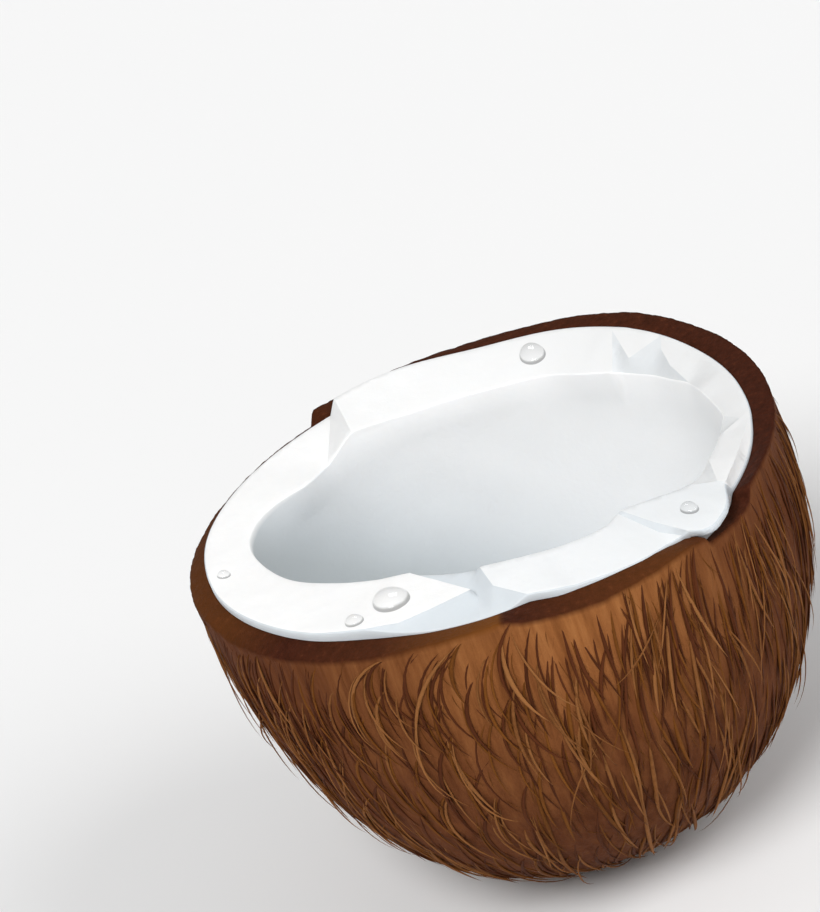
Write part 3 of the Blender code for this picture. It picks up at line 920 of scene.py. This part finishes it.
def drop_piece(name, material, heights, azimuth, depth, radius, height):
    """A clear lens of water that lies on the broken face."""
    centre = on_face(azimuth, depth, 0.0)
    down = Vector((0.0, 0.0, -1.0))
    turn = math.radians(DROP_TURN)
    skin = Skin()

    def resting(out, off):
        spots = []
        for i in range(DROP_SIDES):
            angle = 2.0 * math.pi * i / DROP_SIDES
            swell = 1.0 + 0.03 * math.sin(3.0 * angle + azimuth)
            along = radius * swell * out * DROP_LONG * math.cos(angle - turn)
            across = radius * swell * out * DROP_SHORT * math.sin(angle - turn)
            x = centre[0] + along * math.cos(turn) - across * math.sin(turn)
            y = centre[1] + along * math.sin(turn) + across * math.cos(turn)
            spots.append((x, y, level_z + slope_x * (x - centre[0]) + slope_y * (y - centre[1]) + off))
        return spots

    turns = np.linspace(0.0, 2.0 * math.pi, DROP_SIDES, endpoint=False)
    rim_x, rim_y = centre[0] + radius * np.cos(turns), centre[1] + radius * np.sin(turns)
    above = [heights.ray_cast(Vector((x, y, 2.0 * RIM_HEIGHT)), down)[0].z for x, y in zip(rim_x, rim_y)]
    slope_x, slope_y, level_z = np.linalg.lstsq(
        np.stack([rim_x - centre[0], rim_y - centre[1], np.ones(DROP_SIDES)], axis=1), above, rcond=None
    )[0]
    top = skin.add([resting(0.0, height)[0]])[0]
    # Where each point lies on the dome, for the drop's painted shade
    shares = [0.0]
    far = [0.0]
    ring = None
    for level in range(1, DROP_RINGS + 1):
        slope = math.pi / 2.0 * level / DROP_RINGS
        dome = math.cos(slope) ** 0.9
        low = skin.add(resting(math.sin(slope), height * dome - DROP_SINK * (1.0 - dome)))
        shares += [math.sin(slope)] * DROP_SIDES
        far += list(math.sin(slope) * np.cos(turns - math.radians(DROP_SHADE_AZIMUTH)))
        if ring is None:
            skin.cap(low, top, True)
        else:
            skin.join(ring, low)
        ring = low
    for out in (0.85, 0.6, 0.3):
        low = skin.add(resting(out, -DROP_SINK))
        skin.join(ring, low)
        ring = low
    skin.cap(ring, skin.add([resting(0.0, -DROP_SINK)[0]])[0], False)
    piece = new_piece(name + "_lens", skin.array(), skin.faces, material)
    hidden = [0.0] * (len(piece.data.vertices) - len(shares))
    give(piece, "rim", np.array(shares + hidden))
    give(piece, "far", np.array(far + hidden))
    piece.visible_shadow = False
    piece.visible_diffuse = False
    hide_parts(name)


# ---------------------------------------------------------------- materials


class Nodes:
    """A material's node tree, built by name."""

    def __init__(self, name):
        self.material = bpy.data.materials.new(name)
        self.material.use_nodes = True
        self.tree = self.material.node_tree
        self.shader = self.tree.nodes["Principled BSDF"]

    def add(self, kind, **settings):
        node = self.tree.nodes.new("ShaderNode" + kind)
        for key, value in settings.items():
            setattr(node, key, value)
        return node

    def link(self, source, target):
        self.tree.links.new(source, target)

    def attribute(self, name):
        return self.add("Attribute", attribute_name=name).outputs["Fac"]

    def noise(self, scale, detail=3.0, roughness=0.55, stretch=(1.0, 1.0, 1.0)):
        place = self.add("TexCoord").outputs["Object"]
        mapping = self.add("Mapping")
        mapping.inputs["Scale"].default_value = stretch
        self.link(place, mapping.inputs["Vector"])
        texture = self.add("TexNoise")
        texture.inputs["Scale"].default_value = scale
        texture.inputs["Detail"].default_value = detail
        texture.inputs["Roughness"].default_value = roughness
        self.link(mapping.outputs["Vector"], texture.inputs["Vector"])
        return texture.outputs["Fac"]

    def ramp(self, source, *stops):
        ramp = self.add("ValToRGB")
        elements = ramp.color_ramp.elements
        while len(elements) < len(stops):
            elements.new(0.5)
        for element, (position, colour) in zip(elements, stops):
            element.position = position
            element.color = (*colour, 1.0) if isinstance(colour, tuple) else (colour, colour, colour, 1.0)
        self.link(source, ramp.inputs["Fac"])
        return ramp.outputs["Color"]

    def mix(self, factor, first, second, blend="MIX"):
        mixer = self.add("Mix", data_type="RGBA", blend_type=blend)
        for socket, value in ((mixer.inputs[0], factor), (mixer.inputs[6], first), (mixer.inputs[7], second)):
            if isinstance(value, tuple):
                socket.default_value = (*value, 1.0)
            elif isinstance(value, float):
                socket.default_value = value
            else:
                self.link(value, socket)
        return mixer.outputs[2]

    def spread(self, source, low, high, start=0.0, end=1.0):
        span = self.add("MapRange")
        self.link(source, span.inputs["Value"])
        for name, value in (("From Min", start), ("From Max", end), ("To Min", low), ("To Max", high)):
            span.inputs[name].default_value = value
        return span.outputs["Result"]

    def times(self, first, second, operation="MULTIPLY"):
        maths = self.add("Math", operation=operation)
        for socket, value in zip(maths.inputs, (first, second)):
            if isinstance(value, float):
                socket.default_value = value
            else:
                self.link(value, socket)
        return maths.outputs["Value"]

    def bump(self, height, distance, strength=1.0):
        bump = self.add("Bump")
        bump.inputs["Distance"].default_value = distance
        bump.inputs["Strength"].default_value = strength
        self.link(height, bump.inputs["Height"])
        self.link(bump.outputs["Normal"], self.shader.inputs["Normal"])


def flesh_material():
    made = Nodes("coconut_flesh")
    hollow = made.attribute("hollow")
    mottle = made.noise(120.0, 4.0, 0.6)
    pits = made.noise(900.0, 3.0, 0.6)
    face = made.ramp(mottle, (0.3, (0.93, 0.93, 0.925)), (0.7, (0.97, 0.97, 0.965)))
    # Painted shade in the hollow: a cool grey that is darker deeper down and towards the left, along a slant
    # in object space
    place = made.add("SeparateXYZ")
    made.link(made.add("TexCoord").outputs["Object"], place.inputs["Vector"])
    high = made.times(place.outputs["Z"], 0.754)
    right = made.times(place.outputs["X"], 0.526)
    outward = made.times(made.times(place.outputs["Y"], 0.0, "ABSOLUTE"), 0.393)
    light = made.times(made.times(high, right, "ADD"), outward, "ADD")
    deep = made.ramp(
        made.spread(light, 0.0, 1.0, 0.030, 0.080),
        (0.0, (0.46, 0.495, 0.51)),
        (0.13, (0.49, 0.525, 0.54)),
        (0.22, (0.565, 0.60, 0.62)),
        (0.31, (0.66, 0.69, 0.71)),
        (0.45, (0.79, 0.81, 0.825)),
        (0.67, (0.92, 0.925, 0.93)),
        (0.9, (0.975, 0.975, 0.975)),
    )
    # Painted shade: the broken face is painted greyer towards the right and the back
    away = made.times(place.outputs["X"], made.times(place.outputs["Y"], 0.65), "ADD")
    face = made.mix(made.spread(away, 0.0, 1.0, -0.05, 0.06), face, (0.775, 0.78, 0.78))
    # Painted shade on some facets and on the rounded outer edge, in a cool grey
    face = made.mix(made.attribute("facet_shade"), face, (0.55, 0.61, 0.655))
    inside_hollow = made.spread(hollow, 0.0, 1.0, 0.0, 0.02)
    made.link(made.mix(inside_hollow, face, deep), made.shader.inputs["Base Color"])
    made.shader.inputs["Specular IOR Level"].default_value = 0.15
    made.link(made.spread(pits, 0.3, 0.5), made.shader.inputs["Roughness"])
    made.shader.inputs["Subsurface Weight"].default_value = 0.12
    made.shader.inputs["Subsurface Radius"].default_value = (1.0, 0.9, 0.8)
    made.shader.inputs["Subsurface Scale"].default_value = 0.002
    height = made.mix(0.5, made.noise(260.0, 5.0, 0.6), pits)
    made.bump(height, 0.00025, 0.5)
    return made.material


def shell_material():
    made = Nodes("coconut_shell")
    broken = made.attribute("broken")
    streaks = made.noise(420.0, 4.0, 0.65, (1.0, 1.0, 0.09))
    blotches = made.noise(28.0, 3.0, 0.5)
    grain = made.noise(1500.0, 3.0, 0.6, (1.0, 1.0, 0.4))
    bark = made.ramp(
        streaks, (0.3, (0.19, 0.066, 0.018)), (0.5, (0.29, 0.108, 0.032)), (0.72, (0.38, 0.155, 0.050))
    )
    bark = made.mix(made.spread(blotches, 0.0, 0.5, 0.4, 0.7), bark, (0.15, 0.045, 0.018))
    # Painted light and shade: the bark is painted darker away from the painted highlight at the front and
    # lighter in it; random paler patches use the same mix
    shaded_bark = made.ramp(
        streaks, (0.3, (0.072, 0.021, 0.008)), (0.5, (0.10, 0.031, 0.012)), (0.72, (0.13, 0.043, 0.015))
    )
    bark = made.mix(made.attribute("lit_and_mottled"), shaded_bark, bark)
    splinters = made.noise(700.0, 4.0, 0.7, (1.0, 1.0, 0.6))
    edge = made.ramp(
        splinters, (0.3, (0.034, 0.009, 0.004)), (0.6, (0.058, 0.015, 0.007)), (0.85, (0.12, 0.036, 0.014))
    )
    edge = made.mix(made.attribute("warm"), edge, (0.20, 0.068, 0.012))
    made.link(made.mix(broken, bark, edge), made.shader.inputs["Base Color"])
    made.link(made.spread(grain, 0.55, 0.8), made.shader.inputs["Roughness"])
    made.shader.inputs["Specular IOR Level"].default_value = 0.03
    made.bump(made.mix(0.5, streaks, grain), 0.0006, 0.8)
    return made.material


def fibre_material(name, dark, light):
    made = Nodes(name)
    tone = made.attribute("tone")
    reach = made.attribute("reach")
    grain = made.noise(900.0, 2.0)
    colour = made.ramp(tone, (0.0, dark), (1.0, light))
    # Painted shade: strands are painted darker away from the painted highlight at the front
    colour = made.mix(made.spread(made.attribute("lit_and_mottled"), 0.55, 0.0, 0.0, 0.8), colour, dark)
    colour = made.mix(made.spread(reach, 0.35, 0.0, 0.0, 0.5), colour, dark)
    colour = made.mix(made.spread(grain, 0.0, 0.35, 0.4, 0.7), colour, light)
    made.link(colour, made.shader.inputs["Base Color"])
    made.link(made.spread(grain, 0.5, 0.75), made.shader.inputs["Roughness"])
    made.shader.inputs["Specular IOR Level"].default_value = 0.05
    made.bump(grain, 0.0001, 0.5)
    return made.material


def water_material():
    made = Nodes("clear_water")
    # Painted shade in clear water: greyer on the far side and in a thin dark ring at the foot
    across = made.spread(made.attribute("far"), 0.0, 1.0, -1.0, 1.0)
    body = made.ramp(across, (0.1, 0.95), (0.5, 0.74), (0.95, 0.44))
    rim_shade = made.ramp(made.attribute("rim"), (0.0, 1.0), (0.87, 1.0), (0.95, 0.28), (1.0, 0.2))
    made.link(made.mix(1.0, body, rim_shade, "MULTIPLY"), made.shader.inputs["Base Color"])
    made.shader.inputs["Transmission Weight"].default_value = 1.0
    made.shader.inputs["IOR"].default_value = 1.33
    ripple = made.noise(160.0, 1.0)
    made.link(made.spread(ripple, 0.0, 0.02), made.shader.inputs["Roughness"])
    return made.material


def floor_material():
    made = Nodes("studio_floor")
    cloud = made.noise(3.0, 2.0)
    made.link(made.ramp(cloud, (0.0, 0.855), (1.0, 0.87)), made.shader.inputs["Base Color"])
    made.shader.inputs["Roughness"].default_value = 0.9
    made.shader.inputs["Specular IOR Level"].default_value = 0.1
    return made.material


# ---------------------------------------------------------------- studio


def facing_along(direction, roll):
    """Rotation of a camera or light that looks along a direction, turned about it."""
    turn = direction.to_track_quat("-Z", "Y").to_matrix().to_4x4()
    return turn @ Matrix.Rotation(roll, 4, "Z")


def add_camera():
    tilt, swing, roll = (math.radians(angle) for angle in (CAMERA_TILT, CAMERA_SWING, CAMERA_ROLL))
    ahead = Vector((-math.sin(swing) * math.cos(tilt), math.cos(swing) * math.cos(tilt), -math.sin(tilt)))
    aim = Vector(CAMERA_AIM) * MM
    data = bpy.data.cameras.new("camera")
    data.sensor_width = CAMERA_SENSOR
    data.lens = CAMERA_LENS
    data.clip_end = 100.0
    camera = bpy.data.objects.new("camera", data)
    bpy.context.scene.collection.objects.link(camera)
    camera.matrix_world = Matrix.Translation(aim - ahead * CAMERA_DISTANCE * MM) @ facing_along(ahead, -roll)
    bpy.context.scene.camera = camera


def add_floor():
    mesh = bpy.data.meshes.new("floor")
    half = FLOOR_SIZE / 2.0
    corners = [(-half, -half, 0.0), (half, -half, 0.0), (half, half, 0.0), (-half, half, 0.0)]
    mesh.from_pydata(corners, [], [(0, 1, 2, 3)])
    mesh.materials.append(floor_material())
    floor = bpy.data.objects.new("floor", mesh)
    floor.location.z = cad_bounds[0][2] - 0.0002
    bpy.context.scene.collection.objects.link(floor)


def add_light(name, kind, azimuth, height, power, size, distance=1.2):
    """A light that shines on the part from an azimuth and a height in degrees."""
    data = bpy.data.lights.new(name, kind)
    data.energy = power
    if kind == "SUN":
        data.angle = math.radians(size)
    else:
        data.size = size
    light = bpy.data.objects.new(name, data)
    turn, rise = math.radians(azimuth), math.radians(height)
    away = Vector((math.cos(turn) * math.cos(rise), math.sin(turn) * math.cos(rise), math.sin(rise)))
    middle = (Vector(cad_bounds[0]) + Vector(cad_bounds[1])) / 2.0
    light.matrix_world = Matrix.Translation(middle + away * distance) @ facing_along(-away, 0.0)
    bpy.context.scene.collection.objects.link(light)
    return light


def add_world():
    world = bpy.data.worlds.new("studio")
    world.use_nodes = True
    tree = world.node_tree
    background = tree.nodes["Background"]
    background.inputs["Color"].default_value = (1.0, 1.0, 1.0, 1.0)
    path = tree.nodes.new("ShaderNodeLightPath")
    strength = tree.nodes.new("ShaderNodeMapRange")
    strength.inputs["To Min"].default_value = FILL
    strength.inputs["To Max"].default_value = BACKDROP
    tree.links.new(path.outputs["Is Camera Ray"], strength.inputs["Value"])
    tree.links.new(strength.outputs["Result"], background.inputs["Strength"])
    bpy.context.scene.world = world


scene = bpy.context.scene
scene.view_settings.view_transform = "Standard"
add_camera()
add_floor()
add_world()
add_light("key", "SUN", azimuth=242.0, height=50.0, power=KEY, size=30.0)
add_light("side", "SUN", azimuth=340.0, height=35.0, power=SIDE, size=40.0)
sparkle = add_light("sparkle", "AREA", azimuth=88.0, height=48.0, power=SPARKLE, size=0.16, distance=0.6)
sparkle.visible_diffuse = False

rng = np.random.default_rng(20)
face_heights, flesh_outer = flesh_piece(flesh_material())
shell_piece(shell_material(), flesh_outer)
profile = shell_profile()
husk_dark = fibre_material("husk_dark", (0.060, 0.017, 0.006), (0.10, 0.028, 0.009))
husk_mid = fibre_material("husk_mid", (0.105, 0.034, 0.006), (0.19, 0.066, 0.012))
husk_light = fibre_material("husk_light", (0.15, 0.054, 0.015), (0.31, 0.13, 0.042))
husk_piece(
    "husk_dark", husk_dark, profile, rng, count=640,
    length=(14.0, 28.0), width=(0.20, 0.46), lift=(0.1, 0.9), spread=6.0,
)
husk_piece(
    "husk_crown", husk_dark, profile, rng, count=180,
    length=(16.0, 28.0), width=(0.20, 0.40), lift=(0.1, 0.8), spread=6.0, end=4.0,
)
husk_piece(
    "husk_mid", husk_mid, profile, rng, count=560,
    length=(14.0, 28.0), width=(0.20, 0.46), lift=(0.2, 1.2), spread=7.0,
)
husk_piece(
    "husk_light", husk_light, profile, rng, count=340,
    length=(14.0, 28.0), width=(0.20, 0.50), lift=(0.4, 1.9), spread=8.0,
)
husk_piece(
    "husk_stray", husk_light, profile, rng, count=190,
    length=(14.0, 27.0), width=(0.14, 0.30), lift=(2.6, 6.5), spread=14.0, droop=(0.5, 0.9),
)
husk_piece(
    "husk_fuzz", husk_mid, profile, rng, count=900,
    length=(5.0, 11.0), width=(0.05, 0.11), lift=(0.2, 1.2), spread=22.0, sides=3,
)
water = water_material()
for name, azimuth, depth, radius, height in DROPS:
    drop_piece(name, water, face_heights, azimuth, depth, radius, height)
